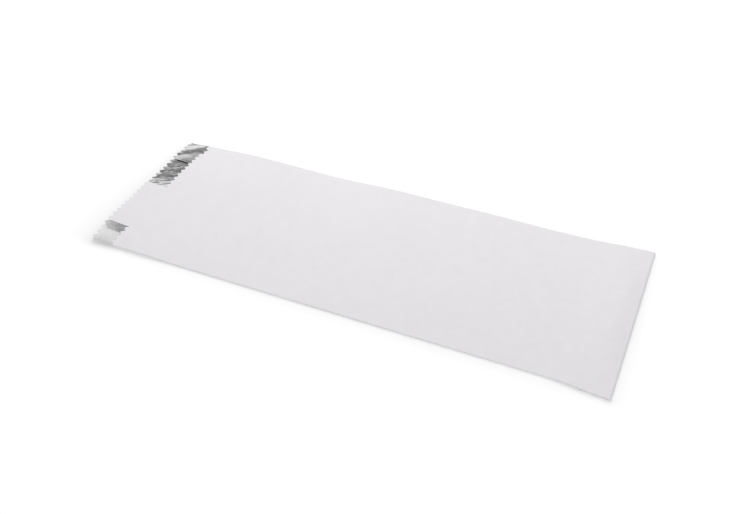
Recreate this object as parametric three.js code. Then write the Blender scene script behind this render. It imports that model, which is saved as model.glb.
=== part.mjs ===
// Foil-lined paper bag: a flat, side-gusseted tube of paper with a foil ply bonded inside it.
// Millimetres, +Z up. The bag lies on its back wall with the mouth at -X and the folded bottom at +X.
// The origin is the middle of the bag's outline, on the surface that it lies on.
import * as THREE from 'three';

// Outline of the flattened bag
const BAG_WIDTH = 108;
const BAG_LENGTH = 320;
const GUSSET_DEPTH = 21;
const LAP_WIDTH = 12;
const LAP_STEP = 3;
const FLAP_LENGTH = 12;

// Stepped, serrated cut that parts one bag from the next
const LIP_DEPTH = 15;
const NEAR_NOTCH_WIDTH = 17;
const FAR_NOTCH_WIDTH = 50;
const TOOTH_PITCH = 4.1;
const TOOTH_DEPTH = 2.2;

// Plies and the room between them
const PAPER_THICKNESS = 0.08;
const FOIL_THICKNESS = 0.04;
const BOND_GAP = 0.02;
const PLY_CLEARANCE = 0.06;

// How the empty bag stands off the surface and off itself
const FAR_SPRING = 3.2;
const NEAR_SPRING = 0.8;
const CROWN = 0.5;
const MOUTH_ARCH = 2.6;
const MOUTH_ARCH_RUN = 60;
const MOUTH_ARCH_SHOULDER = 30;
const GUSSET_ARCH_SHARE = 0.9;
const FRONT_ARCH_SHARE = 0.7;
const CORNER_LIFT = 1.7;
const CORNER_LIFT_RUN = 55;
const BOTTOM_FOLD_SPRING = 0.4;
const BOTTOM_RISE_RUN = 80;
const NEAR_SPREAD = 2.4;
const FAR_SPREAD = 1;
const SPREAD_RUN = 32;
const TAB_RISE_RUN = 4;

// Shares of the side folds' spring, at shares of the length from the mouth to the bottom fold
const FULLNESS = [
  { along: 0, share: 0.55 },
  { along: 0.18, share: 1 },
  { along: 0.38, share: 0.4 },
  { along: 0.49, share: 0.7 },
  { along: 0.66, share: 0.4 },
  { along: 0.84, share: 0 },
  { along: 1, share: 0 },
];

// Steps that the curves are divided into
const BODY_STEPS = 14;
const TURN_STEPS = 6;
const FOLD_STEPS = 2;
const GUSSET_STEPS = 2;
const FRONT_STEPS = 6;
const BACK_STEPS = 3;

// Faces of the plies, measured outwards from the middle of the paper
const paperOuter = PAPER_THICKNESS / 2;
const paperInner = -PAPER_THICKNESS / 2;
const foilOuter = paperInner - BOND_GAP;
const foilInner = foilOuter - FOIL_THICKNESS;

// Folds: the side folds close round the foil, the gusset folds close round the paper
const sideFoldRadius = PLY_CLEARANCE / 2 - foilInner;
const gussetFoldRadius = PLY_CLEARANCE / 2 + paperOuter;
const flatStack = 4 * sideFoldRadius + 2 * gussetFoldRadius;
const sideFoldY = BAG_WIDTH / 2 - paperOuter - sideFoldRadius;
const gussetFoldY = BAG_WIDTH / 2 - GUSSET_DEPTH + gussetFoldRadius;

// Lap seam: the outer edge of the web steps down under the inner one
const lapDrop = paperOuter - foilInner + BOND_GAP;
const lapEdgeY = LAP_WIDTH / 2;

// Bottom end: the whole stack turns under itself and lies against the back wall
const turnRadius = flatStack / 2 + lapDrop + paperOuter + PLY_CLEARANCE / 2 + BOTTOM_FOLD_SPRING;
const turnReach = turnRadius + flatStack / 2 + paperOuter;
const turnX = BAG_LENGTH / 2 - turnReach;
const turnStart = BAG_LENGTH - turnReach;
const turnEnd = turnStart + Math.PI * turnRadius;
const cutLength = turnEnd + FLAP_LENGTH;
const tabBrink = cutLength + TOOTH_DEPTH;
const tabRisen = tabBrink + TAB_RISE_RUN;
const tabEnd = cutLength + LIP_DEPTH;
const tabStack = paperOuter - foilInner + PLY_CLEARANCE;

// Back wall's height where it lies on the surface and where it enters the bottom turn
const backOnSurface = lapDrop + paperOuter;
const backAtTurn = turnReach + turnRadius - flatStack / 2;

// Middle of the outline across the bag, whose bottom end spreads more on the near side than on the far side
const outlineMiddleY = (FAR_SPREAD - NEAR_SPREAD) / 2;

// Run in which the triangles fan out from a row of the blank to the teeth of a cut
const toothSlope = TOOTH_DEPTH / (TOOTH_PITCH / 2);
const fanRun = toothSlope * (GUSSET_DEPTH / GUSSET_STEPS);

// Tongue of the front wall, between the two notches
const tongueFarY = BAG_WIDTH / 2 - FAR_NOTCH_WIDTH;
const tongueNearY = NEAR_NOTCH_WIDTH - BAG_WIDTH / 2;

// Pieces of the section in their order along the web, from the inner edge of the lap to the outer one
const WEB_ORDER = [
  'inner_lap',
  'far_back_fold',
  'far_gusset_under',
  'far_gusset_fold',
  'far_gusset_over',
  'far_top_fold',
  'front_wall',
  'near_top_fold',
  'near_gusset_over',
  'near_gusset_fold',
  'near_gusset_under',
  'near_back_fold',
  'outer_lap',
];
const [innerLap, farTopFold, frontWall, nearTopFold, outerLap] = [
  'inner_lap',
  'far_top_fold',
  'front_wall',
  'near_top_fold',
  'outer_lap',
].map((name) => WEB_ORDER.indexOf(name));
const webEnd = WEB_ORDER.length;

// Share of the mouth's arch that each piece takes: all of it in the back wall, the least in the front wall
const archShares = WEB_ORDER.map((name) => {
  if (name.includes('gusset')) {
    return GUSSET_ARCH_SHARE;
  }
  return name.includes('front') || name.includes('top') ? FRONT_ARCH_SHARE : 1;
});

// Share of the side folds' spring at a distance from the mouth, eased between the stops
function fullnessAt(distance) {
  const along = THREE.MathUtils.clamp(distance / turnStart, 0, 1);
  const next = Math.max(1, FULLNESS.findIndex((stop) => stop.along >= along));
  const before = FULLNESS[next - 1];
  const after = FULLNESS[next];
  const blend = THREE.MathUtils.smoothstep(along, before.along, after.along);
  return THREE.MathUtils.lerp(before.share, after.share, blend);
}

// One at the middle of the width, falling to nothing at the side folds
function acrossArch(y) {
  return Math.max(0, 1 - (y / sideFoldY) ** 2);
}

// Height of the mouth's arch, which rises from both side folds and runs out along the bag
function mouthArchAt(distance, y) {
  const run = Math.max(0, 1 - distance / MOUTH_ARCH_RUN);
  return MOUTH_ARCH * run ** 2 * THREE.MathUtils.smoothstep(sideFoldY - Math.abs(y), 0, MOUTH_ARCH_SHOULDER);
}

// Lift of the whole stack at the near corner of the mouth
function cornerLiftAt(distance, y) {
  const run = Math.max(0, 1 - distance / CORNER_LIFT_RUN);
  return CORNER_LIFT * run ** 2 * Math.max(0, -y / sideFoldY) ** 2;
}

// Place across the bag, with the spread of the bottom end, where the stack is pressed flat by its turn
function spreadAt(distance, y) {
  const fromTurn = Math.max(turnStart - distance, distance - turnEnd, 0);
  const spread = 1 - THREE.MathUtils.smoothstep(fromTurn, 0, SPREAD_RUN);
  const edgeSpread = y < 0 ? NEAR_SPREAD : FAR_SPREAD;
  return y * (1 + spread * edgeSpread / (BAG_WIDTH / 2)) - outlineMiddleY;
}

function backHeightAt(distance) {
  const rise = Math.max(0, 1 - (turnStart - distance) / BOTTOM_RISE_RUN);
  return THREE.MathUtils.lerp(backOnSurface, backAtTurn, rise ** 3);
}

// Flat panel of the section between two (y, z) ends, with its paper face up or down
function panel(fromY, fromZ, toY, toZ, facing) {
  return {
    at(share, offset) {
      const y = THREE.MathUtils.lerp(fromY, toY, share);
      const z = THREE.MathUtils.lerp(fromZ, toZ, share);
      return { y, z: z + facing * offset };
    },
    shareAt: (y) => (y - fromY) / (toY - fromY),
    facesDown: facing < 0,
    fromY,
    toY,
  };
}

// Half-turn fold of the section about a (y, z) centre, with the paper outside or inside the turn
function fold(y, z, radius, startDegrees, sweepDegrees, paperSide) {
  return {
    at(share, offset) {
      const angle = THREE.MathUtils.degToRad(startDegrees + share * sweepDegrees);
      const reach = radius + paperSide * offset;
      return { y: y + reach * Math.cos(angle), z: z + reach * Math.sin(angle) };
    },
  };
}

// Section of the tube, from the inner edge of the lap round to the outer one, above the back wall
function sectionAt(distance) {
  const far = flatStack + FAR_SPRING * fullnessAt(distance);
  const near = flatStack + NEAR_SPRING * fullnessAt(distance);
  const sideFold = 2 * sideFoldRadius;
  return [
    panel(-lapEdgeY, 0, sideFoldY, 0, -1),
    fold(sideFoldY, sideFoldRadius, sideFoldRadius, -90, 180, 1),
    panel(sideFoldY, sideFold, gussetFoldY, far / 2 - gussetFoldRadius, 1),
    fold(gussetFoldY, far / 2, gussetFoldRadius, -90, -180, -1),
    panel(gussetFoldY, far / 2 + gussetFoldRadius, sideFoldY, far - sideFold, -1),
    fold(sideFoldY, far - sideFoldRadius, sideFoldRadius, -90, 180, 1),
    panel(sideFoldY, far, -sideFoldY, near, 1),
    fold(-sideFoldY, near - sideFoldRadius, sideFoldRadius, 90, 180, 1),
    panel(-sideFoldY, near - sideFold, -gussetFoldY, near / 2 + gussetFoldRadius, -1),
    fold(-gussetFoldY, near / 2, gussetFoldRadius, 90, -180, -1),
    panel(-gussetFoldY, near / 2 - gussetFoldRadius, -sideFoldY, sideFold, 1),
    fold(-sideFoldY, sideFoldRadius, sideFoldRadius, 90, 180, 1),
    panel(-sideFoldY, 0, lapEdgeY, 0, -1),
  ];
}

const flatSection = sectionAt(BAG_LENGTH);

// Point of the section at a place along the web: the whole part numbers the piece, the rest is its share
function sectionPoint(section, place, offset, distance) {
  const piece = Math.min(Math.floor(place), outerLap);
  const point = section[piece].at(place - piece, offset);
  point.z += archShares[piece] * mouthArchAt(distance, point.y);
  if (piece === frontWall) {
    point.z += CROWN * fullnessAt(distance) * acrossArch(point.y);
  }
  if (piece === outerLap) {
    point.z -= lapDrop * THREE.MathUtils.clamp((point.y + lapEdgeY + LAP_STEP) / LAP_STEP, 0, 1);
  }
  return point;
}

// Section point carried along the bag: over the surface, round the bottom turn and back under it,
// where the flap lies on the surface and its tabs rise to the back wall
function placeAlong(distance, { y, z }) {
  const across = spreadAt(distance, y);
  if (distance <= turnStart) {
    const height = backHeightAt(distance) + z + cornerLiftAt(distance, y);
    return new THREE.Vector3(distance - BAG_LENGTH / 2, across, height);
  }
  const reach = turnRadius + z - flatStack / 2;
  const angle = Math.min((distance - turnStart) / turnRadius, Math.PI);
  const beyond = Math.max(0, distance - turnEnd);
  const risen = THREE.MathUtils.smoothstep(distance, tabBrink, tabRisen);
  const tabRise = risen * (backHeightAt(turnStart - beyond) - backOnSurface - tabStack);
  const height = turnReach + reach * Math.cos(angle) + tabRise;
  return new THREE.Vector3(turnX + reach * Math.sin(angle) - beyond, across, height);
}

function evenSteps(from, to, count) {
  return Array.from({ length: count + 1 }, (_, step) => THREE.MathUtils.lerp(from, to, step / count));
}

// Places along the web that every row shares: panel breaks in line from ply to ply, and the folds' steps
function webPlaces() {
  const gussetBreaks = evenSteps(gussetFoldY, sideFoldY, GUSSET_STEPS);
  const sideBreaks = [...gussetBreaks, ...gussetBreaks.map((y) => -y)];
  const backBreaks = evenSteps(lapEdgeY, gussetFoldY, BACK_STEPS);
  const breaks = {
    [innerLap]: backBreaks,
    [frontWall]: [...evenSteps(-gussetFoldY, gussetFoldY, FRONT_STEPS), tongueFarY, tongueNearY],
    [outerLap]: [...backBreaks.map((y) => -y), -lapEdgeY - LAP_STEP],
  };
  const places = new Set([webEnd]);
  flatSection.forEach((piece, index) => {
    places.add(index);
    if (piece.shareAt) {
      const shares = [...sideBreaks, ...(breaks[index] ?? [])].map(piece.shareAt);
      shares.filter((share) => share > 0 && share < 1).forEach((share) => places.add(index + share));
    } else {
      evenSteps(0, 1, FOLD_STEPS).forEach((share) => places.add(index + share));
    }
  });
  return [...places].sort((a, b) => a - b);
}

// Places along the web at every tooth point and every valley of the serrated cut
function toothPlaces() {
  const half = TOOTH_PITCH / 2;
  return flatSection.flatMap((piece, index) => {
    if (!piece.shareAt) {
      return evenSteps(0, 1, FOLD_STEPS).map((share) => index + share);
    }
    const low = Math.min(piece.fromY, piece.toY);
    const high = Math.max(piece.fromY, piece.toY);
    const first = Math.ceil(low / half);
    const count = Math.floor(high / half) - first + 1;
    const points = Array.from({ length: count }, (_, step) => piece.shareAt((first + step) * half));
    return [0, ...points.sort((a, b) => a - b)].map((share) => index + share);
  });
}

// Depth of the serrated cut at a place along the web
function toothDepthAt(place) {
  const { y } = sectionPoint(flatSection, place, 0, BAG_LENGTH);
  const phase = THREE.MathUtils.euclideanModulo(y / TOOTH_PITCH, 1);
  return TOOTH_DEPTH * Math.abs(1 - 2 * phase);
}

// Flat blank: points (place along the web, distance from the mouth) and the triangles between rows of them
const blank = { points: [], triangles: [] };

function addRow(places, distanceAt) {
  return places.map((place) => blank.points.push({ place, distance: distanceAt(place) }) - 1);
}

// Triangles between a row and the next one further from the mouth, whatever points each has.
// Steps are taken in the order of their middles, and like steps are split alike in every ply.
function stitch(near, far) {
  const placeOf = (row, index) => blank.points[row[index]]?.place ?? Infinity;
  const middleOf = (row, index) => (placeOf(row, index) + placeOf(row, index + 1)) / 2;
  let i = 0;
  let j = 0;
  while (i < near.length - 1 || j < far.length - 1) {
    const lead = middleOf(far, j) - middleOf(near, i);
    if (lead > 0 || (lead === 0 && flatSection[Math.floor(placeOf(near, i))].facesDown)) {
      blank.triangles.push([near[i], near[i + 1], far[j]]);
      i += 1;
    } else {
      blank.triangles.push([near[i], far[j + 1], far[j]]);
      j += 1;
    }
  }
}

// Stretches of the web between the sides of the notches, where the cut is stepped
const farCrease = farTopFold + 0.5;
const tongueFarPlace = frontWall + flatSection[frontWall].shareAt(tongueFarY);
const tongueNearPlace = frontWall + flatSection[frontWall].shareAt(tongueNearY);
const nearCrease = nearTopFold + 0.5;
const stretches = [
  { from: innerLap, to: farCrease, notched: false },
  { from: farCrease, to: tongueFarPlace, notched: true },
  { from: tongueFarPlace, to: tongueNearPlace, notched: false },
  { from: tongueNearPlace, to: nearCrease, notched: true },
  { from: nearCrease, to: webEnd, notched: false },
];

const allPlaces = webPlaces();
const allTeeth = toothPlaces();

function placesWithin(places, { from, to }) {
  const inside = places.filter((place) => place > from && place < to);
  return [from, ...inside, to];
}

// Serrated end of the blank. The first cut ends some stretches, and the others go on to the second cut
// by way of straight rows.
function addCutEnd(baseRow, firstCut, straightRows, secondCut, goesOn, join) {
  const firstRow = [];
  const longRows = [];
  stretches.forEach((stretch) => {
    const long = goesOn(stretch);
    const places = placesWithin(long ? allPlaces : allTeeth, stretch);
    const shared = firstRow.length ? [firstRow[firstRow.length - 1]] : [];
    const fresh = shared.length ? places.slice(1) : places;
    const ends = [stretch.from, stretch.to];
    const depthAt = (place) => (long && !ends.includes(place) ? 0 : toothDepthAt(place));
    const row = [...shared, ...addRow(fresh, (place) => firstCut + depthAt(place))];
    firstRow.push(...row.slice(shared.length));
    if (long) {
      longRows.push({ row, stretch });
    }
  });
  join(firstRow, baseRow);
  longRows.forEach(({ row, stretch }) => {
    const straight = straightRows.map((distance) => addRow(placesWithin(allPlaces, stretch), () => distance));
    const teeth = addRow(placesWithin(allTeeth, stretch), (place) => secondCut + toothDepthAt(place));
    const rows = [row, ...straight, teeth];
    rows.slice(1).forEach((next, index) => join(next, rows[index]));
  });
}

// The blank's rows, from the cut at the mouth to the cut at the end of the flap
function drawBlank() {
  const distances = [
    ...evenSteps(LIP_DEPTH + TOOTH_DEPTH + fanRun, turnStart, BODY_STEPS),
    ...evenSteps(turnStart, turnEnd, TURN_STEPS).slice(1),
    cutLength - fanRun,
  ];
  const rows = distances.map((distance) => addRow(allPlaces, () => distance));
  rows.slice(1).forEach((row, index) => stitch(rows[index], row));
  const mouthwards = (row, before) => stitch(row, before);
  const flapwards = (row, before) => stitch(before, row);
  addCutEnd(rows[0], LIP_DEPTH, [], 0, (stretch) => !stretch.notched, mouthwards);
  const tabRows = [tabBrink, tabRisen];
  addCutEnd(rows[rows.length - 1], cutLength, tabRows, tabEnd, (stretch) => stretch.notched, flapwards);
}

// Edges of the blank that only one triangle has
function rimEdges() {
  const seen = new Set(blank.triangles.flatMap(([a, b, c]) => [`${a} ${b}`, `${b} ${c}`, `${c} ${a}`]));
  const edges = blank.triangles.flatMap(([a, b, c]) => [[a, b], [b, c], [c, a]]);
  return edges.filter(([a, b]) => !seen.has(`${b} ${a}`));
}

// The blank folded into the bag as one ply between two faces, closed round its rim
function foldPly(outerFace, innerFace) {
  const faces = [outerFace, innerFace].map((offset) => blank.points.map(({ place, distance }) => {
    const section = sectionAt(distance);
    return placeAlong(distance, sectionPoint(section, place, offset, distance));
  }));
  const back = blank.points.length;
  const outside = blank.triangles;
  const inside = blank.triangles.map(([a, b, c]) => [c + back, b + back, a + back]);
  const rim = rimEdges().flatMap(([a, b]) => [[b, a, a + back], [b, a + back, b + back]]);
  const geometry = new THREE.BufferGeometry();
  geometry.setFromPoints(faces.flat());
  geometry.setIndex([...outside, ...inside, ...rim].flat());
  geometry.computeVertexNormals();
  return geometry;
}

drawBlank();

const whitePaper = new THREE.MeshStandardMaterial({ color: 0xe7e5e8, roughness: 0.85, metalness: 0 });
const brightFoil = new THREE.MeshStandardMaterial({ color: 0xc9c9cc, roughness: 0.3, metalness: 1 });

const paperBag = new THREE.Mesh(foldPly(paperOuter, paperInner), whitePaper);
paperBag.name = 'paper_bag';

const foilLining = new THREE.Mesh(foldPly(foilOuter, foilInner), brightFoil);
foilLining.name = 'foil_lining';

const bag = new THREE.Group();
bag.add(paperBag, foilLining);

export default bag;
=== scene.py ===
import math

import bpy
import numpy as np
from mathutils import Matrix, Vector


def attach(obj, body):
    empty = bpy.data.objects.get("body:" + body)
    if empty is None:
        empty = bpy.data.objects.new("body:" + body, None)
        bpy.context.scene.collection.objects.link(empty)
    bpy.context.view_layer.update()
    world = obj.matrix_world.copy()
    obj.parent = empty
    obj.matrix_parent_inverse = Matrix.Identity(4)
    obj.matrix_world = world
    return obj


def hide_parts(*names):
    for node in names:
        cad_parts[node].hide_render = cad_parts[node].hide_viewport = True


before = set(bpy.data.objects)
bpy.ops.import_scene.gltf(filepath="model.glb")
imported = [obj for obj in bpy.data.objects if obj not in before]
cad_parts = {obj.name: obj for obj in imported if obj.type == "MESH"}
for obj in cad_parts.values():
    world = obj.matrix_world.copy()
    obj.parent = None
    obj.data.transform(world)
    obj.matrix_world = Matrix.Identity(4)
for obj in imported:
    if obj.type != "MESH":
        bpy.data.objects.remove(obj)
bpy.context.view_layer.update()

# Foil-lined paper bag, lying flat on its back wall with the mouth at -X.
# The bag is one web of paper with a foil ply bonded inside it. Both plies are worked out flat, as a grid of
# places along the web and distances from the mouth, and the same fold map then folds them into the bag.
# Lengths are in millimetres until a mesh is filled. A pair of lengths gives where something starts and ends.
MM = 0.001

# Outline of the flattened bag
BAG_WIDTH = 108.0
BAG_LENGTH = 320.0
GUSSET_DEPTH = 21.0
LAP_WIDTH = 12.0
LAP_STEP = 3.0
FLAP_LENGTH = 12.0

# Stepped, serrated cut
LIP_DEPTH = 15.0
NEAR_NOTCH_WIDTH = 17.0
FAR_NOTCH_WIDTH = 50.0
TOOTH_PITCH = 4.1
TOOTH_DEPTH = 2.2
FAR_CORNER_CUT = 1.8

# Plies and the room between them
PAPER_THICKNESS = 0.08
FOIL_THICKNESS = 0.04
BOND_GAP = 0.02
PLY_CLEARANCE = 0.06

# How the empty bag stands off the surface and off itself
FAR_SPRING = 3.2
NEAR_SPRING = 0.1
CROWN = 0.5
MOUTH_ARCH = 2.6
MOUTH_ARCH_RUN = 60.0
MOUTH_ARCH_SHOULDER = 30.0
FAR_GUSSET_ARCH_SHARE = 0.9
NEAR_GUSSET_ARCH_SHARE = 0.97
FRONT_ARCH_SHARE = 0.7
CORNER_LIFT = 1.7
CORNER_LIFT_RUN = 55.0
BOTTOM_FOLD_SPRING = 0.4
BOTTOM_RISE_RUN = 80.0
NEAR_SPREAD = 2.4
FAR_SPREAD = 1.0
SPREAD_RUN = 32.0
TAB_RISE_RUN = 1.5
TAB_TUCK = 0.03
EDGE_STAND = 0.7
EDGE_FALL_RUN = 24.0
EDGE_PINCH_ACROSS = (20.0, 50.0)
MIDDLE_PINCH = 0.75
MIDDLE_PINCH_RUN = 8.0
FULLNESS_ALONG = np.array([0.0, 0.18, 0.38, 0.49, 0.66, 0.84, 1.0])
FULLNESS_SHARE = np.array([0.55, 1.0, 0.4, 0.7, 0.4, 0.0, 0.0])

# Faces of the plies, measured outwards from the middle of the paper
PAPER_OUTER = PAPER_THICKNESS / 2
PAPER_INNER = -PAPER_THICKNESS / 2
FOIL_OUTER = PAPER_INNER - BOND_GAP
FOIL_INNER = FOIL_OUTER - FOIL_THICKNESS

# Folds, lap seam and bottom turn, as on the solids
SIDE_RADIUS = PLY_CLEARANCE / 2 - FOIL_INNER
GUSSET_RADIUS = PLY_CLEARANCE / 2 + PAPER_OUTER
FLAT_STACK = 4 * SIDE_RADIUS + 2 * GUSSET_RADIUS
SIDE_Y = BAG_WIDTH / 2 - PAPER_OUTER - SIDE_RADIUS
GUSSET_Y = BAG_WIDTH / 2 - GUSSET_DEPTH + GUSSET_RADIUS
LAP_DROP = PAPER_OUTER - FOIL_INNER + BOND_GAP
LAP_Y = LAP_WIDTH / 2
TURN_RADIUS = FLAT_STACK / 2 + LAP_DROP + PAPER_OUTER + PLY_CLEARANCE / 2 + BOTTOM_FOLD_SPRING
TURN_REACH = TURN_RADIUS + FLAT_STACK / 2 + PAPER_OUTER
TURN_X = BAG_LENGTH / 2 - TURN_REACH
TURN_START = BAG_LENGTH - TURN_REACH
TURN_END = TURN_START + math.pi * TURN_RADIUS
CUT_LENGTH = TURN_END + FLAP_LENGTH
TAB_BRINK = CUT_LENGTH + TOOTH_DEPTH
TAB_STACK = PAPER_OUTER - FOIL_INNER + PLY_CLEARANCE
BACK_ON_SURFACE = LAP_DROP + PAPER_OUTER
BACK_AT_TURN = TURN_REACH + TURN_RADIUS - FLAT_STACK / 2
OUTLINE_MIDDLE_Y = (FAR_SPREAD - NEAR_SPREAD) / 2
TONGUE_FAR_Y = BAG_WIDTH / 2 - FAR_NOTCH_WIDTH
TONGUE_NEAR_Y = NEAR_NOTCH_WIDTH - BAG_WIDTH / 2

# Pieces of the section in their order along the web
INNER_LAP, FAR_BACK_FOLD, FAR_UNDER, FAR_GUSSET_FOLD, FAR_OVER, FAR_TOP_FOLD, FRONT_WALL = range(7)
NEAR_TOP_FOLD, NEAR_OVER, NEAR_GUSSET_FOLD, NEAR_UNDER, NEAR_BACK_FOLD, OUTER_LAP = range(7, 13)

# Share of the mouth's arch that each piece takes, in the same order
BACK_ARCH = [1.0, 1.0]
FAR_ARCH = [FAR_GUSSET_ARCH_SHARE] * 3
FRONT_ARCH = [FRONT_ARCH_SHARE] * 3
NEAR_ARCH = [NEAR_GUSSET_ARCH_SHARE] * 3
ARCH_SHARES = np.array(BACK_ARCH + FAR_ARCH + FRONT_ARCH + NEAR_ARCH + BACK_ARCH)


def ease(value, start, end):
    """Smooth step: nothing before start, one after end, and 3t^2 - 2t^3 of the share t between them."""
    share = np.clip((value - start) / (end - start), 0.0, 1.0)
    return share * share * (3.0 - 2.0 * share)


def fullness(distance):
    """Share of the side folds' spring at a distance from the mouth, eased from stop to stop."""
    along = np.clip(np.asarray(distance, float) / TURN_START, 0.0, 1.0)
    stop = np.clip(np.searchsorted(FULLNESS_ALONG, along), 1, len(FULLNESS_ALONG) - 1)
    blend = ease(along, FULLNESS_ALONG[stop - 1], FULLNESS_ALONG[stop])
    return FULLNESS_SHARE[stop - 1] + (FULLNESS_SHARE[stop] - FULLNESS_SHARE[stop - 1]) * blend


def across_arch(y):
    """One at the middle of the width, less the square of the share of the way to a side fold."""
    return np.maximum(0.0, 1.0 - (y / SIDE_Y) ** 2)


def mouth_arch(distance, y):
    """Height of the mouth's arch: eased up from both side folds, and run out along the bag by a square."""
    run = np.maximum(0.0, 1.0 - distance / MOUTH_ARCH_RUN)
    return MOUTH_ARCH * run**2 * ease(SIDE_Y - np.abs(y), 0.0, MOUTH_ARCH_SHOULDER)


def corner_lift(distance, y):
    """Lift of the stack at the near corner of the mouth: a square of the way to it, along and across."""
    run = np.maximum(0.0, 1.0 - distance / CORNER_LIFT_RUN)
    return CORNER_LIFT * run**2 * np.maximum(0.0, -y / SIDE_Y) ** 2


def spread(distance, y):
    """Place across the bag, widened towards the bottom turn, about the middle of the outline."""
    from_turn = np.maximum(np.maximum(TURN_START - distance, distance - TURN_END), 0.0)
    edge_spread = np.where(y < 0, NEAR_SPREAD, FAR_SPREAD) * (1.0 - ease(from_turn, 0.0, SPREAD_RUN))
    return y * (1.0 + edge_spread / (BAG_WIDTH / 2)) - OUTLINE_MIDDLE_Y


def back_height(distance):
    """Height of the back wall, rising by a cube to the bottom turn."""
    rise = np.clip(1.0 - (TURN_START - distance) / BOTTOM_RISE_RUN, 0.0, 1.0)
    return BACK_ON_SURFACE + (BACK_AT_TURN - BACK_ON_SURFACE) * rise**3


def bottom_pinch(distance, y):
    """Closing of the bottom turn on its own flap: a short square in the middle, and at the edges all that
    the back wall stands over the flap, and beyond the flap over the surface."""
    before_turn = np.maximum(TURN_START - distance, 0.0)
    middle = MIDDLE_PINCH * np.maximum(0.0, 1.0 - before_turn / MIDDLE_PINCH_RUN) ** 2
    flap_end = FLAP_LENGTH + TOOTH_DEPTH
    stand = EDGE_STAND * (1.0 - ease(before_turn, flap_end, flap_end + EDGE_FALL_RUN))
    edge = np.maximum(0.0, back_height(distance) - BACK_ON_SURFACE - stand)
    return middle + (edge - middle) * ease(np.abs(y), *EDGE_PINCH_ACROSS)


def tooth_depth(y):
    """Depth of the serrated cut: a triangle wave across the width."""
    return TOOTH_DEPTH * np.abs(1.0 - 2.0 * np.mod(y / TOOTH_PITCH, 1.0))


def section_pieces(far, near):
    """Panels (from y, from z, to y, to z, facing) and half-turn folds (y, z, radius, start, sweep, paper's
    side) of the tube's section, for the heights of the front wall at its far and near folds."""
    low = SIDE_RADIUS + 0 * far
    side = 2 * low
    floor = 0 * far
    panels = {
        INNER_LAP: (-LAP_Y, floor, SIDE_Y, floor, -1),
        FAR_UNDER: (SIDE_Y, side, GUSSET_Y, far / 2 - GUSSET_RADIUS, 1),
        FAR_OVER: (GUSSET_Y, far / 2 + GUSSET_RADIUS, SIDE_Y, far - side, -1),
        FRONT_WALL: (SIDE_Y, far, -SIDE_Y, near, 1),
        NEAR_OVER: (-SIDE_Y, near - side, -GUSSET_Y, near / 2 + GUSSET_RADIUS, -1),
        NEAR_UNDER: (-GUSSET_Y, near / 2 - GUSSET_RADIUS, -SIDE_Y, side, 1),
        OUTER_LAP: (-SIDE_Y, floor, LAP_Y, floor, -1),
    }
    folds = {
        FAR_BACK_FOLD: (SIDE_Y, low, SIDE_RADIUS, -90, 180, 1),
        FAR_GUSSET_FOLD: (GUSSET_Y, far / 2, GUSSET_RADIUS, -90, -180, -1),
        FAR_TOP_FOLD: (SIDE_Y, far - low, SIDE_RADIUS, -90, 180, 1),
        NEAR_TOP_FOLD: (-SIDE_Y, near - low, SIDE_RADIUS, 90, 180, 1),
        NEAR_GUSSET_FOLD: (-GUSSET_Y, near / 2, GUSSET_RADIUS, 90, -180, -1),
        NEAR_BACK_FOLD: (-SIDE_Y, low, SIDE_RADIUS, 90, 180, 1),
    }
    return panels, folds


def section_points(piece, share, distance, offset):
    """Section of the tube at every grid point: straight between a panel's ends, round a fold's centre, and
    set off from the middle of the paper by the offset. The front wall crowns, the outer lap steps down."""
    y = np.zeros_like(distance)
    z = np.zeros_like(distance)
    full = fullness(distance)
    panels, folds = section_pieces(FLAT_STACK + FAR_SPRING * full, FLAT_STACK + NEAR_SPRING * full)
    for number, (from_y, from_z, to_y, to_z, facing) in panels.items():
        own = piece == number
        y[:, own] = from_y + (to_y - from_y) * share[own]
        z[:, own] = from_z[:, own] + (to_z - from_z)[:, own] * share[own] + facing * offset
    for number, (at_y, at_z, radius, start, sweep, paper_side) in folds.items():
        own = piece == number
        angle = np.radians(start + sweep * share[own])
        reach = radius + paper_side * offset
        y[:, own] = at_y + reach * np.cos(angle)
        z[:, own] = at_z[:, own] + reach * np.sin(angle)
    z += ARCH_SHARES[piece] * mouth_arch(distance, y)
    crowned = piece == FRONT_WALL
    z[:, crowned] += CROWN * (full * across_arch(y))[:, crowned]
    lapped = piece == OUTER_LAP
    z[:, lapped] -= LAP_DROP * np.clip((y[:, lapped] + LAP_Y + LAP_STEP) / LAP_STEP, 0.0, 1.0)
    return y, z


def carry_along(distance, y, z):
    """Section carried over the surface, round the half turn of the bottom and back under it, in metres."""
    reach = TURN_RADIUS + z - FLAT_STACK / 2
    angle = np.clip((distance - TURN_START) / TURN_RADIUS, 0.0, math.pi)
    beyond = np.maximum(0.0, distance - TURN_END)
    risen = ease(distance, TAB_BRINK, TAB_BRINK + TAB_RISE_RUN)
    above = TURN_START - beyond
    tab_rise = risen * (back_height(above) - bottom_pinch(above, y) - BACK_ON_SURFACE - TAB_STACK)
    on_top = distance <= TURN_START
    x = np.where(on_top, distance - BAG_LENGTH / 2, TURN_X + reach * np.sin(angle) - beyond)
    turned = TURN_REACH + reach * np.cos(angle) + tab_rise
    height = np.where(on_top, back_height(distance) + z + corner_lift(distance, y), turned)
    height = height - bottom_pinch(distance, y) * (1.0 + np.cos(angle)) / 2.0
    across = spread(distance, y * (1.0 - TAB_TUCK * risen))
    return np.stack([x, across, height], axis=-1) * MM


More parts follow.
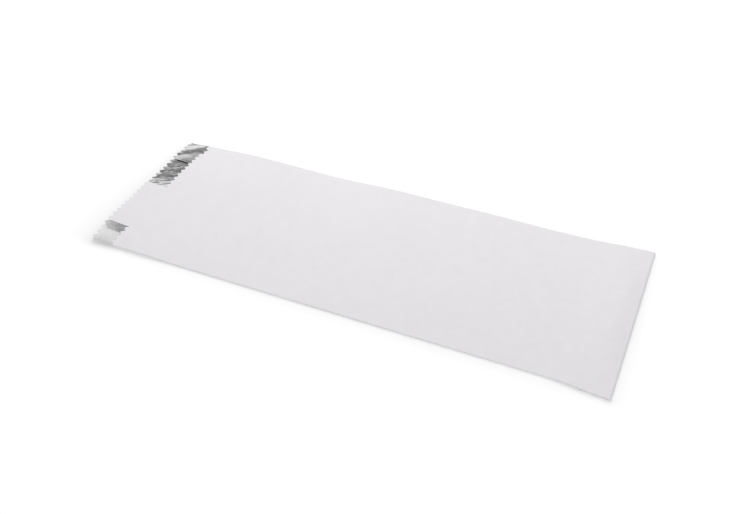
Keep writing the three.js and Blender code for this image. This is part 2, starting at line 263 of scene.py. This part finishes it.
# Small relief over the fold map, left by handling, most of it in the bared strips of the mouth.
# Streaks in the bared back wall. Each wander is a share, the runs along and across, and a phase.
STREAK_TURN = math.radians(36.0)
STREAK_PITCH = 5.2
STREAK_HEIGHT = 0.09
STREAK_SWELL = 0.1
STREAK_SWELL_ACROSS = (9.0, 15.0)
STREAK_WANDER = [(0.22, 3.7, 4.9, 0.0), (0.15, 2.3, -3.1, 1.7)]
FINE_STREAK_PITCH = 2.964
FINE_STREAK_SHARE = 0.25
FINE_STREAK_WANDER = -1.4
FINE_STREAK_PHASE = 0.3
STREAKS_FROM = (1.0, 6.0)
STREAKS_TO = (GUSSET_Y - 5.0, GUSSET_Y - 1.0)

# Rise and swell of the bared back wall, and where both run out along the bag
STRIP_END = (LIP_DEPTH - 3.0, LIP_DEPTH + 9.0)
STRIP_RISE = 0.6
STRIP_RISE_FROM = (-30.0, -8.0)
STRIP_RISE_TO = (1.0, 12.0)
FOLD_SWELL = 0.5
FOLD_SWELL_PITCH = 17.0
FOLD_SWELL_HOLLOW = 0.2
FOLD_SWELL_FROM = (GUSSET_Y - 7.0, GUSSET_Y + 1.0)
FOLD_SWELL_TO = (GUSSET_Y + 1.0, GUSSET_Y + 15.0)

# Wave, dip, droop, bulge and press of the far gusset
WAVE_TURN = math.radians(42.0)
WAVE_AT = (7.0, 47.8)
WAVE_HEIGHT = 0.34
WAVE_UPPER_RUN = 5.0
WAVE_LOWER_RUN = 5.8
WAVE_FROM = (GUSSET_Y, GUSSET_Y + 3.0)
WAVE_TO = (SIDE_Y - 4.0, SIDE_Y)
WAVE_END = (LIP_DEPTH - 3.0, LIP_DEPTH + 5.0)
DIP = 0.4
DIP_START = (LIP_DEPTH - 3.0, LIP_DEPTH + 4.0)
DIP_END = (LIP_DEPTH + 7.0, 50.0)
DIP_FROM = (41.0, 46.0)
DIP_TO = (47.0, SIDE_Y)
DROOP = 0.35
DROOP_ACROSS = (44.0, SIDE_Y)
DROOP_END = (LIP_DEPTH - 9.0, LIP_DEPTH)
BULGE_AT = (8.0, 34.0)
BULGE_REACH = 7.0
BULGE_HEIGHT = 0.2
FOLD_PRESS = 0.2
FOLD_PRESS_RUN = 8.0
FOLD_PRESS_REACH = 9.0

# Bends across the near corner and along the near side
BEND_FROM = (0.0, -40.1)
BEND_TO = (8.3, -45.8)
BEND_RISE = 1.1
BEND_RUN = 30.0
BEND_SLOPE = 0.11
BEND_ROUNDING = 0.25
BEND_FALL_ACROSS = (0.0, 20.0)
SIDE_BEND_Y = -43.8
SIDE_BEND_SLOPE = 0.09
SIDE_BEND_END = (LIP_DEPTH + 1.0, 45.0)

# Ripple, hump and settling of the front wall. Each ripple is a share, two runs and a phase, as a wander is.
RIPPLE = 0.1
RIPPLE_MEAN = 2.0
RIPPLES = [(1.0, 13.0, 17.0, 0.0), (1.0, 21.0, -11.0, 2.0)]
RIPPLE_END = (TURN_START - 70.0, TURN_START - 20.0)
HUMP = 0.6
HUMP_RISE_RUN = 9.0
HUMP_FALL_RUN = 36.0
SETTLE = 0.29
SETTLE_AT_MOUTH = 0.25
SETTLE_END = (20.0, 45.0)
SETTLE_FROM = (30.0, -TONGUE_NEAR_Y)
SETTLE_TO = (3.0, 16.0)

# Bends of the teeth, each by a seeded share
TOOTH_BEND = 0.3
TOOTH_BEND_RANGE = (-0.3, 1.0)
TOOTH_BEND_FROM = (TONGUE_NEAR_Y + 3.0, TONGUE_NEAR_Y + 8.0)
TOOTH_BEND_SEED = 7


def across_line(distance, y, turn):
    """Distance across lines that run from the mouth towards the far side, at a turn from the length."""
    return y * math.cos(turn) - distance * math.sin(turn)


def raised_lines(phase):
    """Narrow ridges with flats between them: a raised cosine, cubed."""
    return (0.5 + 0.5 * np.cos(2.0 * math.pi * phase)) ** 3


def waves(distance, y, terms):
    """Sum of sines of the way along and across, each with its share, its two runs and its phase."""
    height = 0.0
    for share, along, across, phase in terms:
        height = height + share * np.sin(distance / along + y / across + phase)
    return height


def streaks(distance, y):
    """Narrow ridges at an angle to the length, with a phase that wanders, a finer set between them, and more
    height beside the tongue."""
    across = across_line(distance, y, STREAK_TURN)
    wander = waves(distance, y, STREAK_WANDER)
    coarse = raised_lines(across / STREAK_PITCH + wander)
    fine = raised_lines(across / FINE_STREAK_PITCH + FINE_STREAK_WANDER * wander + FINE_STREAK_PHASE)
    height = STREAK_HEIGHT + STREAK_SWELL * (1.0 - ease(y, *STREAK_SWELL_ACROSS))
    room = ease(y, *STREAKS_FROM) * (1.0 - ease(y, *STREAKS_TO))
    return height * (coarse + FINE_STREAK_SHARE * fine) * room


def strip_rise(y):
    """Rise of the bared back wall towards the tongue, carried under it and run out on its near side."""
    return STRIP_RISE * (1.0 - ease(y, *STRIP_RISE_TO)) * ease(y, *STRIP_RISE_FROM)


def fold_swell(distance, y):
    """Swell of the back wall under the far gusset's inner fold, with shallow hollows along it."""
    hollow = FOLD_SWELL_HOLLOW * (1.0 - np.cos(2.0 * math.pi * distance / FOLD_SWELL_PITCH))
    return FOLD_SWELL * (1.0 - hollow) * ease(y, *FOLD_SWELL_FROM) * (1.0 - ease(y, *FOLD_SWELL_TO))


def back_relief(distance, y):
    """Streaks, rise and swell of the back wall, run out behind the bared strip."""
    bared = 1.0 - ease(distance, *STRIP_END)
    return bared * (streaks(distance, y) + strip_rise(y) + fold_swell(distance, y))


def gusset_wave(distance, y):
    """Low wave across the far gusset's bared ply, steeper on its upper side, run out at the folds."""
    side = across_line(distance, y, WAVE_TURN) - across_line(*WAVE_AT, WAVE_TURN)
    run = np.where(side < 0.0, WAVE_LOWER_RUN, WAVE_UPPER_RUN)
    room = ease(y, *WAVE_FROM) * (1.0 - ease(y, *WAVE_TO)) * (1.0 - ease(distance, *WAVE_END))
    return WAVE_HEIGHT * room * (1.0 - ease(np.abs(side) / run, 0.0, 1.0))


def gusset_dip(distance, y):
    """Dip of the same ply into the bag under the far corner of the front wall's cut."""
    along = ease(distance, *DIP_START) * (1.0 - ease(distance, *DIP_END))
    return DIP * along * ease(y, *DIP_FROM) * (1.0 - ease(y, *DIP_TO))


def edge_droop(distance, y):
    """Droop of the same ply's free edge, where the fold to the front wall is cut away."""
    return DROOP * ease(y, *DROOP_ACROSS) * (1.0 - ease(distance, *DROOP_END))


def gusset_bulge(distance, y):
    """Round bulge of the far gusset about its inner fold at the mouth."""
    from_middle = np.hypot(distance - BULGE_AT[0], y - BULGE_AT[1]) / BULGE_REACH
    return BULGE_HEIGHT * np.maximum(0.0, 1.0 - from_middle**2)


def fold_press(distance, y):
    """Far gusset pressed down at the mouth, most at its inner fold."""
    along = 1.0 - ease(distance, 0.0, FOLD_PRESS_RUN)
    return FOLD_PRESS * along * (1.0 - ease(np.abs(y - GUSSET_Y), 0.0, FOLD_PRESS_REACH))


def front_relief(distance, y):
    """Faint ripple of the front wall, its hump just before the bottom turn, eased up and then down to the
    turn, and its settling at the near side of the mouth, which grows from the cut and runs out behind it."""
    flat = 1.0 - ease(distance, *RIPPLE_END)
    ripple = RIPPLE * flat * across_arch(y) * (RIPPLE_MEAN + waves(distance, y, RIPPLES))
    before_turn = TURN_START - distance
    hump = ease(before_turn, 0.0, HUMP_RISE_RUN) * (1.0 - ease(before_turn, HUMP_RISE_RUN, HUMP_FALL_RUN))
    grown = SETTLE_AT_MOUTH + (1.0 - SETTLE_AT_MOUTH) * ease(distance, 0.0, LIP_DEPTH)
    settled = grown * (1.0 - ease(distance, *SETTLE_END))
    settled = settled * ease(-y, *SETTLE_FROM) * ease(SIDE_Y + y, *SETTLE_TO)
    return ripple + HUMP * hump * across_arch(y) - SETTLE * settled


def corner_bend(distance, y):
    """Whole stack bent at the near corner: it rises to two bends, one across the corner and one along the
    side, and falls evenly beyond them, by the greater of the two falls."""
    along = np.array(BEND_TO) - np.array(BEND_FROM)
    along = along / np.hypot(*along)
    inner = (distance - BEND_FROM[0]) * -along[1] + (y - BEND_FROM[1]) * along[0]
    side_slope = SIDE_BEND_SLOPE * (1.0 - ease(distance, *SIDE_BEND_END))
    fall = np.maximum(-BEND_SLOPE * inner, side_slope * (SIDE_BEND_Y - y))
    rounding = BEND_SLOPE * BEND_ROUNDING
    fall = (np.sqrt(fall**2 + rounding**2) + fall - rounding) / 2.0
    return BEND_RISE * (1.0 - ease(inner, 0.0, BEND_RUN)) - fall * ease(-y, *BEND_FALL_ACROSS)


def tooth_bend(distance, y, bends):
    """Bend of each tooth by its own share: a square of the way out from twice its depth behind the cut."""
    tooth = np.floor(y / TOOTH_PITCH).astype(int) + len(bends) // 2
    from_cut = distance - tooth_depth(y)
    bend = bends[tooth] * np.maximum(0.0, 1.0 - from_cut / (2 * TOOTH_DEPTH)) ** 2
    return TOOTH_BEND * bend * ease(y, *TOOTH_BEND_FROM)


def relief(piece, distance, y, bends):
    """Height of the small relief over the plain fold map."""
    height = corner_bend(distance, y) + tooth_bend(distance, y, bends)
    own = (piece == INNER_LAP) | (piece == OUTER_LAP)
    height[:, own] += back_relief(distance, y)[:, own]
    own = (piece == FAR_UNDER) | (piece == FAR_GUSSET_FOLD) | (piece == FAR_OVER)
    height[:, own] += (gusset_bulge(distance, y) - fold_press(distance, y))[:, own]
    own = piece == FAR_OVER
    height[:, own] += (gusset_wave(distance, y) - gusset_dip(distance, y))[:, own]
    own = (piece == FAR_OVER) | (piece == FAR_TOP_FOLD)
    height[:, own] -= edge_droop(distance, y)[:, own]
    own = piece == FRONT_WALL
    height[:, own] += front_relief(distance, y)[:, own]
    return height


# Rows and columns of the blank
LIP_ROWS = 36
JOIN_ROWS = 8
JOIN_RUN = 6.0
ARCH_ROWS = 14
BODY_ROWS = 35
TURN_ROWS = 10
FLAP_ROWS = 4
TAB_ROWS = 10
FOLD_COLUMNS = 6
FINEST_STEP = TOOTH_PITCH / 12
FINE_STEP = TOOTH_PITCH / 8
PLAIN_STEP = TOOTH_PITCH / 4
COARSE_STEP = TOOTH_PITCH / 2
LEAST_SHARE = 1e-4
FAR_CORNER_FROM = (41.0, 47.0)
FAR_CORNER_TO = (49.0, SIDE_Y)


def web_columns():
    """Piece and share of every grid column along the web. Panels are stepped at whole parts of the tooth
    pitch, finer where the foil is bared, and folds by angle."""
    panels, _ = section_pieces(np.array(FLAT_STACK), np.array(FLAT_STACK))
    steps = {INNER_LAP: COARSE_STEP, FAR_UNDER: COARSE_STEP, FAR_OVER: FINEST_STEP, FRONT_WALL: PLAIN_STEP,
             NEAR_OVER: FINE_STEP, NEAR_UNDER: COARSE_STEP, OUTER_LAP: COARSE_STEP}
    extra = {INNER_LAP: np.arange(0.0, GUSSET_Y, FINEST_STEP), FRONT_WALL: [TONGUE_FAR_Y, TONGUE_NEAR_Y],
             OUTER_LAP: [-LAP_Y - LAP_STEP, -LAP_Y]}
    pieces, shares = [], []
    for number in range(OUTER_LAP + 1):
        if number in panels:
            from_y, _, to_y, _, _ = panels[number]
            low, high = sorted((from_y, to_y))
            step = steps[number]
            stops = np.arange(math.ceil(low / step), math.floor(high / step) + 1) * step
            stops = np.concatenate([stops, extra.get(number, [])])
            share = np.unique(np.round((stops - from_y) / (to_y - from_y), 6))
            share = np.concatenate([[0.0], share[(share > LEAST_SHARE) & (share < 1.0 - LEAST_SHARE)]])
        else:
            share = np.arange(FOLD_COLUMNS) / FOLD_COLUMNS
        pieces.append(np.full(len(share), number))
        shares.append(share)
    pieces.append(np.array([OUTER_LAP]))
    shares.append(np.array([1.0]))
    return np.concatenate(pieces), np.concatenate(shares)


def stepped(count):
    """Even shares of a run, from its first step to its end."""
    return np.linspace(0.0, 1.0, count + 1)[1:, None]


def blank_grid(piece, share):
    """Flat blank: distance from the mouth at every row and column, and which cells the stepped cut leaves.
    Rows follow the teeth at both cuts, a little deeper at the far corner, and run straight between them."""
    flat, _ = section_points(piece, share, np.full((1, len(piece)), BAG_LENGTH), 0.0)
    depth = tooth_depth(flat)
    deep = LIP_DEPTH + FAR_CORNER_CUT * ease(flat, *FAR_CORNER_FROM) * (1.0 - ease(flat, *FAR_CORNER_TO))
    step_cut = depth + deep
    body_start = LIP_DEPTH + TOOTH_DEPTH + JOIN_RUN
    body = np.concatenate([
        body_start + (MOUTH_ARCH_RUN - body_start) * stepped(ARCH_ROWS),
        MOUTH_ARCH_RUN + (TURN_START - MOUTH_ARCH_RUN) * np.sin(math.pi / 2 * stepped(BODY_ROWS)),
        TURN_START + (TURN_END - TURN_START) * stepped(TURN_ROWS),
    ])
    distance = np.concatenate([
        depth,
        depth + deep * stepped(LIP_ROWS),
        step_cut + (body_start - step_cut) * stepped(JOIN_ROWS),
        np.broadcast_to(body, (len(body), len(piece))),
        TURN_END + (CUT_LENGTH + depth - TURN_END) * stepped(FLAP_ROWS),
        CUT_LENGTH + depth + LIP_DEPTH * stepped(TAB_ROWS),
    ])
    place = piece + share
    middle = (place[1:] + place[:-1]) / 2
    tongue_far = FRONT_WALL + (SIDE_Y - TONGUE_FAR_Y) / (2 * SIDE_Y)
    tongue_near = FRONT_WALL + (SIDE_Y - TONGUE_NEAR_Y) / (2 * SIDE_Y)
    far_notch = (middle > FAR_TOP_FOLD + 0.5) & (middle < tongue_far)
    near_notch = (middle > tongue_near) & (middle < NEAR_TOP_FOLD + 0.5)
    notched = far_notch | near_notch
    kept = np.ones((len(distance) - 1, len(piece) - 1), bool)
    kept[:LIP_ROWS] = ~notched
    kept[-TAB_ROWS:] = notched
    return distance, kept


def closed_quads(index, kept):
    """Quads of a closed ply: the kept cells on one face, the same turned over on the other, whose points are
    counted on from the first, and the rim between them, along each edge that has no neighbour."""
    corners = (index[:-1, :-1], index[:-1, 1:], index[1:, 1:], index[1:, :-1])
    outside = np.stack([corner[kept] for corner in corners], axis=1)
    inside = outside[:, ::-1] + index.size
    edges = np.stack([outside, np.roll(outside, -1, axis=1)], axis=2).reshape(-1, 2)
    forward = edges[:, 0] * index.size + edges[:, 1]
    backward = edges[:, 1] * index.size + edges[:, 0]
    start, end = edges[~np.isin(forward, backward)].T
    rim = np.stack([end, start, start + index.size, end + index.size], axis=1)
    return np.concatenate([outside, inside, rim])


SHARP_EDGE = math.radians(50.0)


def fold_ply(name, outer_face, inner_face, finish):
    """One ply of the web between two faces: the kept cells of the blank folded twice, once at each face,
    the second turned over, and the rim of the cut closed between them."""
    piece, share = web_columns()
    distance, kept = blank_grid(piece, share)
    tooth_count = 2 * math.ceil(BAG_WIDTH / TOOTH_PITCH)
    bends = np.random.default_rng(TOOTH_BEND_SEED).uniform(*TOOTH_BEND_RANGE, tooth_count)
    faces = []
    for offset in (outer_face, inner_face):
        y, z = section_points(piece, share, distance, offset)
        z = z + relief(piece, distance, y, bends)
        faces.append(carry_along(distance, y, z).reshape(-1, 3))
    index = np.arange(distance.size).reshape(distance.shape)
    used, quads = np.unique(closed_quads(index, kept), return_inverse=True)
    quads = quads.reshape(-1, 4)
    points = np.concatenate(faces)[used]
    mesh = bpy.data.meshes.new(name)
    mesh.vertices.add(len(points))
    mesh.vertices.foreach_set("co", points.astype(np.float32).ravel())
    mesh.loops.add(quads.size)
    mesh.loops.foreach_set("vertex_index", quads.astype(np.int32).ravel())
    mesh.polygons.add(len(quads))
    mesh.polygons.foreach_set("loop_start", np.arange(0, quads.size, 4, dtype=np.int32))
    mesh.polygons.foreach_set("use_smooth", np.ones(len(quads), bool))
    mesh.update(calc_edges=True)
    mesh.validate()
    mesh.set_sharp_from_angle(angle=SHARP_EDGE)
    mesh.materials.append(finish)
    ply = bpy.data.objects.new(name, mesh)
    bpy.context.scene.collection.objects.link(ply)
    return ply


def new_finish(name):
    """Material with its shader, node tree and Object coordinates."""
    finish = bpy.data.materials.new(name)
    finish.use_nodes = True
    nodes, links = finish.node_tree.nodes, finish.node_tree.links
    shader = nodes["Principled BSDF"]
    place = nodes.new("ShaderNodeTexCoord")
    return finish, nodes, links, shader, place.outputs["Object"]


def stretched(nodes, links, place, scale):
    """Object coordinates stretched by a scale along each axis."""
    mapping = nodes.new("ShaderNodeMapping")
    mapping.inputs["Scale"].default_value = scale
    links.new(place, mapping.inputs["Vector"])
    return mapping.outputs["Vector"]


def noise(nodes, links, place, scale, detail=3.0, roughness=0.5):
    """Grey noise at a scale per metre."""
    node = nodes.new("ShaderNodeTexNoise")
    node.inputs["Scale"].default_value = scale
    node.inputs["Detail"].default_value = detail
    node.inputs["Roughness"].default_value = roughness
    links.new(place, node.inputs["Vector"])
    return node.outputs["Fac"]


def ramp(nodes, links, value, stops, colours):
    """Two colours at two stops of a value, and their mixes between them."""
    node = nodes.new("ShaderNodeValToRGB")
    for element, stop, colour in zip(node.color_ramp.elements, stops, colours):
        element.position = stop
        element.color = (*colour, 1.0)
    links.new(value, node.inputs["Fac"])
    return node.outputs["Color"]


def span(nodes, links, value, low, high):
    """Value from nothing to one carried to a span."""
    node = nodes.new("ShaderNodeMapRange")
    node.inputs["To Min"].default_value = low
    node.inputs["To Max"].default_value = high
    links.new(value, node.inputs["Value"])
    return node.outputs["Result"]


def eased(nodes, links, value, start, end, low=0.0, high=1.0):
    """Value eased from a low at its start to a high at its end."""
    node = nodes.new("ShaderNodeMapRange")
    node.interpolation_type = "SMOOTHSTEP"
    node.inputs["From Min"].default_value = start
    node.inputs["From Max"].default_value = end
    node.inputs["To Min"].default_value = low
    node.inputs["To Max"].default_value = high
    links.new(value, node.inputs["Value"])
    return node.outputs["Result"]


def worked(nodes, links, operation, first, second=None):
    """One or two values put through an operation."""
    node = nodes.new("ShaderNodeMath")
    node.operation = operation
    links.new(first, node.inputs[0])
    if second is not None:
        links.new(second, node.inputs[1])
    return node.outputs[0]


def moved(nodes, links, operation, place, by=None):
    """Place put through an operation, alone or with a constant."""
    node = nodes.new("ShaderNodeVectorMath")
    node.operation = operation
    links.new(place, node.inputs[0])
    if by is not None:
        node.inputs[1].default_value = by
    return node


def bump(nodes, links, height, depth, under=None):
    """Bump of a depth in metres over another one."""
    node = nodes.new("ShaderNodeBump")
    node.inputs["Strength"].default_value = 1.0
    node.inputs["Distance"].default_value = depth
    links.new(height, node.inputs["Height"])
    if under is not None:
        links.new(under, node.inputs["Normal"])
    return node.outputs["Normal"]


# Paper: scales per metre and depths in metres
PAPER_COLOURS = ((0.715, 0.7, 0.72), (0.755, 0.742, 0.762))
PAPER_COLOUR_STOPS = (0.25, 0.75)
PAPER_ROUGHNESS = (0.72, 0.88)
PAPER_SHEEN = 0.3
PAPER_CLOUD_SCALE = 170.0
PAPER_CLOUD_SHARE = 0.65
PAPER_CLOUD_DEPTH = 0.00003
PAPER_FIBRE_SCALES = (350.0, 1600.0, 1600.0)
PAPER_FIBRE_SHARE = 0.35
PAPER_TOOTH_SCALE = 2600.0
PAPER_TOOTH_DEPTH = 0.000006

# Foil: scales per metre and depths in metres
FOIL_COLOURS = ((0.785, 0.772, 0.782), (0.865, 0.85, 0.862))
FOIL_COLOUR_STOPS = (0.3, 0.7)
FOIL_ROUGHNESS = (0.16, 0.32)
FOIL_PATCH_SCALE = 240.0
FOIL_ROLLING_SCALES = (60.0, 2400.0, 2400.0)
FOIL_ROLLING_DEPTH = 0.000004
FOIL_CREASE_SCALE = 330.0
FOIL_CREASE_DEPTH = 0.00002
FOIL_GRAIN_SCALE = 700.0
FOIL_GRAIN_DEPTH = 0.000015


def white_paper():
    """Smooth bleached paper: cloudy formation, short fibres along the web, and a faint tooth."""
    finish, nodes, links, shader, place = new_finish("white_paper")
    clouds = noise(nodes, links, place, PAPER_CLOUD_SCALE, detail=4.0, roughness=0.6)
    fibre_place = stretched(nodes, links, place, PAPER_FIBRE_SCALES)
    fibres = noise(nodes, links, fibre_place, 1.0, roughness=0.6)
    tone = nodes.new("ShaderNodeMath")
    tone.operation = "MULTIPLY_ADD"
    tone.inputs[1].default_value = PAPER_FIBRE_SHARE
    links.new(fibres, tone.inputs[0])
    links.new(span(nodes, links, clouds, 0.0, PAPER_CLOUD_SHARE), tone.inputs[2])
    colour = ramp(nodes, links, tone.outputs[0], PAPER_COLOUR_STOPS, PAPER_COLOURS)
    links.new(colour, shader.inputs["Base Color"])
    links.new(span(nodes, links, fibres, *PAPER_ROUGHNESS), shader.inputs["Roughness"])
    shader.inputs["Specular IOR Level"].default_value = PAPER_SHEEN
    tooth = noise(nodes, links, place, PAPER_TOOTH_SCALE, detail=2.0)
    soft = bump(nodes, links, clouds, PAPER_CLOUD_DEPTH)
    links.new(bump(nodes, links, tooth, PAPER_TOOTH_DEPTH, soft), shader.inputs["Normal"])
    return finish


def bright_foil():
    """Thin bright foil: a net of small creases, faint rolling lines along the web, and a patchy gloss."""
    finish, nodes, links, shader, place = new_finish("bright_foil")
    shader.inputs["Metallic"].default_value = 1.0
    patches = noise(nodes, links, place, FOIL_PATCH_SCALE, roughness=0.6)
    rolling_place = stretched(nodes, links, place, FOIL_ROLLING_SCALES)
    rolling = noise(nodes, links, rolling_place, 1.0, detail=2.0)
    colour = ramp(nodes, links, patches, FOIL_COLOUR_STOPS, FOIL_COLOURS)
    links.new(colour, shader.inputs["Base Color"])
    links.new(span(nodes, links, patches, *FOIL_ROUGHNESS), shader.inputs["Roughness"])
    net = nodes.new("ShaderNodeTexVoronoi")
    net.feature = "DISTANCE_TO_EDGE"
    net.inputs["Scale"].default_value = FOIL_CREASE_SCALE
    links.new(place, net.inputs["Vector"])
    creases = bump(nodes, links, net.outputs["Distance"], FOIL_CREASE_DEPTH)
    lines = bump(nodes, links, rolling, FOIL_ROLLING_DEPTH, creases)
    grain = noise(nodes, links, place, FOIL_GRAIN_SCALE, detail=2.0)
    links.new(bump(nodes, links, grain, FOIL_GRAIN_DEPTH, lines), shader.inputs["Normal"])
    return finish


paper_finish = white_paper()
foil_finish = bright_foil()

paper_ply = fold_ply("paper_ply", PAPER_OUTER, PAPER_INNER, paper_finish)
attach(paper_ply, "root")
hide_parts("paper_bag")

foil_ply = fold_ply("foil_ply", FOIL_OUTER, FOIL_INNER, foil_finish)
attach(foil_ply, "root")
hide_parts("foil_lining")

# Pale table top, in metres
FLOOR_HALF = 4.0
FLOOR_COLOURS = ((0.595, 0.595, 0.595), (0.605, 0.605, 0.605))
FLOOR_COLOUR_STOPS = (0.3, 0.7)
FLOOR_CLOUD_SCALE = 6.0

# Its painted glow, at the bag and away from it, over an oval of distances
FLOOR_GLOW_NEAR = 0.385
FLOOR_GLOW_AWAY = 0.455
FLOOR_GLOW_RUN = (0.08, 0.34)
FLOOR_GLOW_OVAL = (1.0, 2.0, 1.0)

# Painted shade before the raised mouth, taken off the floor's glow: its depth, and the places where it
# starts and is full
MOUTH_SHADE = 0.105
MOUTH_SHADE_BEFORE = (-0.196, -0.158)
MOUTH_SHADE_BEHIND = (-0.135, -0.15)
MOUTH_SHADE_ASIDE = (0.062, 0.05)

# Narrow painted shade round the outline: its depth, its run, and half the outline's length and width
OUTLINE_SHADE = 0.055
OUTLINE_SHADE_RUN = 0.009
OUTLINE_HALVES = (0.16, 0.0535, 0.0)


def painted_mouth_shade(nodes, links, place):
    """Painted shade before the mouth: eased up to it along the bag, down again under it, and out at its
    sides.
    """
    axes = nodes.new("ShaderNodeSeparateXYZ")
    links.new(place, axes.inputs["Vector"])
    before = eased(nodes, links, axes.outputs["X"], *MOUTH_SHADE_BEFORE)
    behind = eased(nodes, links, axes.outputs["X"], *MOUTH_SHADE_BEHIND)
    aside = eased(nodes, links, worked(nodes, links, "ABSOLUTE", axes.outputs["Y"]), *MOUTH_SHADE_ASIDE)
    shade = worked(nodes, links, "MULTIPLY", worked(nodes, links, "MULTIPLY", before, behind), aside)
    return span(nodes, links, shade, 0.0, MOUTH_SHADE)


def painted_outline_shade(nodes, links, place):
    """Painted shade round the bag: full at the oblong of its outline, and eased out by the distance from it.
    """
    aside = moved(nodes, links, "ABSOLUTE", place).outputs["Vector"]
    beyond = moved(nodes, links, "SUBTRACT", aside, OUTLINE_HALVES).outputs["Vector"]
    beyond = moved(nodes, links, "MAXIMUM", beyond, (0.0, 0.0, 0.0)).outputs["Vector"]
    distance = moved(nodes, links, "LENGTH", beyond).outputs["Value"]
    return eased(nodes, links, distance, 0.0, OUTLINE_SHADE_RUN, OUTLINE_SHADE, 0.0)


def white_floor():
    """Pale matt table top, wide enough to fill the view, with a faint cloudiness. It has a painted glow,
    dimmer in an oval round the bag so that its soft shadow shows there, less painted shade along its outline
    and before its mouth."""
    corners = FLOOR_HALF * np.array([(-1.0, -1.0, 0.0), (1.0, -1.0, 0.0), (1.0, 1.0, 0.0), (-1.0, 1.0, 0.0)])
    mesh = bpy.data.meshes.new("floor")
    mesh.from_pydata(corners.tolist(), [], [(0, 1, 2, 3)])
    finish, nodes, links, shader, place = new_finish("pale_floor")
    cloud = noise(nodes, links, place, FLOOR_CLOUD_SCALE)
    links.new(ramp(nodes, links, cloud, FLOOR_COLOUR_STOPS, FLOOR_COLOURS), shader.inputs["Base Color"])
    shader.inputs["Roughness"].default_value = 1.0
    shader.inputs["Specular IOR Level"].default_value = 0.0
    shader.inputs["Emission Color"].default_value = (1.0, 1.0, 1.0, 1.0)
    # Painted glow: the floor emits light, dimmer in an oval round the bag than away from it
    oval = stretched(nodes, links, place, FLOOR_GLOW_OVAL)
    away = moved(nodes, links, "LENGTH", oval).outputs["Value"]
    glow = eased(nodes, links, away, *FLOOR_GLOW_RUN, FLOOR_GLOW_NEAR, FLOOR_GLOW_AWAY)
    # Painted shade before the mouth, taken off the glow
    glow = worked(nodes, links, "SUBTRACT", glow, painted_mouth_shade(nodes, links, place))
    # Painted shade round the bag's outline, taken off the glow
    glow = worked(nodes, links, "SUBTRACT", glow, painted_outline_shade(nodes, links, place))
    links.new(glow, shader.inputs["Emission Strength"])
    mesh.materials.append(finish)
    floor = bpy.data.objects.new("floor", mesh)
    bpy.context.scene.collection.objects.link(floor)
    return floor


white_floor()

# Soft studio: a pale dome with a dark flag beyond the mouth, one large soft light over the far edge, and a
# low fill before the near edge
DOME_LIGHT = 0.56
HALO_LIGHT = 0.94
FLAG_LIGHT = 0.03
FLAG_TOWARDS = Vector((-0.489, 0.576, 0.655)).normalized()
HALO_EDGE = (math.cos(math.radians(75.0)), math.cos(math.radians(30.0)))
FLAG_EDGE = (math.cos(math.radians(12.0)), math.cos(math.radians(5.5)))
KEY_AT = Vector((-0.1, 0.44, 0.48))
KEY_POWER = 2.36
KEY_SIZE = 0.5
FILL_TOWARDS = Vector((0.03, -1.0, 0.105))
FILL_POWER = 0.85
FILL_ANGLE = math.radians(12.0)


def studio_dome():
    """World light: pale all round, brighter in a wide halo beyond the mouth, and dark at the flag in it."""
    world = bpy.data.worlds.new("studio_dome")
    bpy.context.scene.world = world
    world.use_nodes = True
    nodes, links = world.node_tree.nodes, world.node_tree.links
    direction = nodes.new("ShaderNodeTexCoord").outputs["Generated"]
    toward = moved(nodes, links, "DOT_PRODUCT", direction, FLAG_TOWARDS).outputs["Value"]
    halo = eased(nodes, links, toward, *HALO_EDGE, DOME_LIGHT, HALO_LIGHT)
    strength = eased(nodes, links, toward, *FLAG_EDGE, high=FLAG_LIGHT)
    links.new(halo, strength.node.inputs["To Min"])
    nodes["Background"].inputs["Color"].default_value = (1.0, 1.0, 1.0, 1.0)
    links.new(strength, nodes["Background"].inputs["Strength"])


def soft_light(name, kind, towards, power):
    """Soft light that shines on the bag from a place and doesn't show in the foil."""
    light = bpy.data.lights.new(name, kind)
    light.energy = power
    lamp = bpy.data.objects.new(name, light)
    lamp.location = towards
    lamp.rotation_mode = "QUATERNION"
    lamp.rotation_quaternion = towards.to_track_quat("Z", "Y")
    lamp.visible_glossy = False
    bpy.context.scene.collection.objects.link(lamp)
    return light


studio_dome()
soft_key = soft_light("soft_key", "AREA", KEY_AT, KEY_POWER)
soft_key.shape = "SQUARE"
soft_key.size = KEY_SIZE
low_fill = soft_light("low_fill", "SUN", FILL_TOWARDS, FILL_POWER)
low_fill.angle = FILL_ANGLE

# Camera at the photograph's viewpoint, in metres, with its lens and sensor in millimetres
CAMERA_AT = Vector((0.1738, -0.31023, 0.32125))
CAMERA_FORWARD = Vector((-0.34181, 0.64925, -0.67945))
CAMERA_ROLL = math.radians(-4.595)
CAMERA_LENS = 38.47
CAMERA_SENSOR = 36.0
CAMERA_CLIP = 0.01


def photo_camera():
    """Camera that looks along the forward direction, tipped about it by the roll."""
    data = bpy.data.cameras.new("photo_camera")
    data.sensor_width = CAMERA_SENSOR
    data.lens = CAMERA_LENS
    data.clip_start = CAMERA_CLIP
    camera = bpy.data.objects.new("photo_camera", data)
    camera.rotation_mode = "QUATERNION"
    level = CAMERA_FORWARD.to_track_quat("-Z", "Y").to_matrix().to_4x4()
    turned = level @ Matrix.Rotation(CAMERA_ROLL, 4, "Z")
    camera.location = CAMERA_AT
    camera.rotation_quaternion = turned.to_quaternion()
    bpy.context.scene.collection.objects.link(camera)
    bpy.context.scene.camera = camera


photo_camera()
bpy.context.scene.view_settings.view_transform = "Standard"
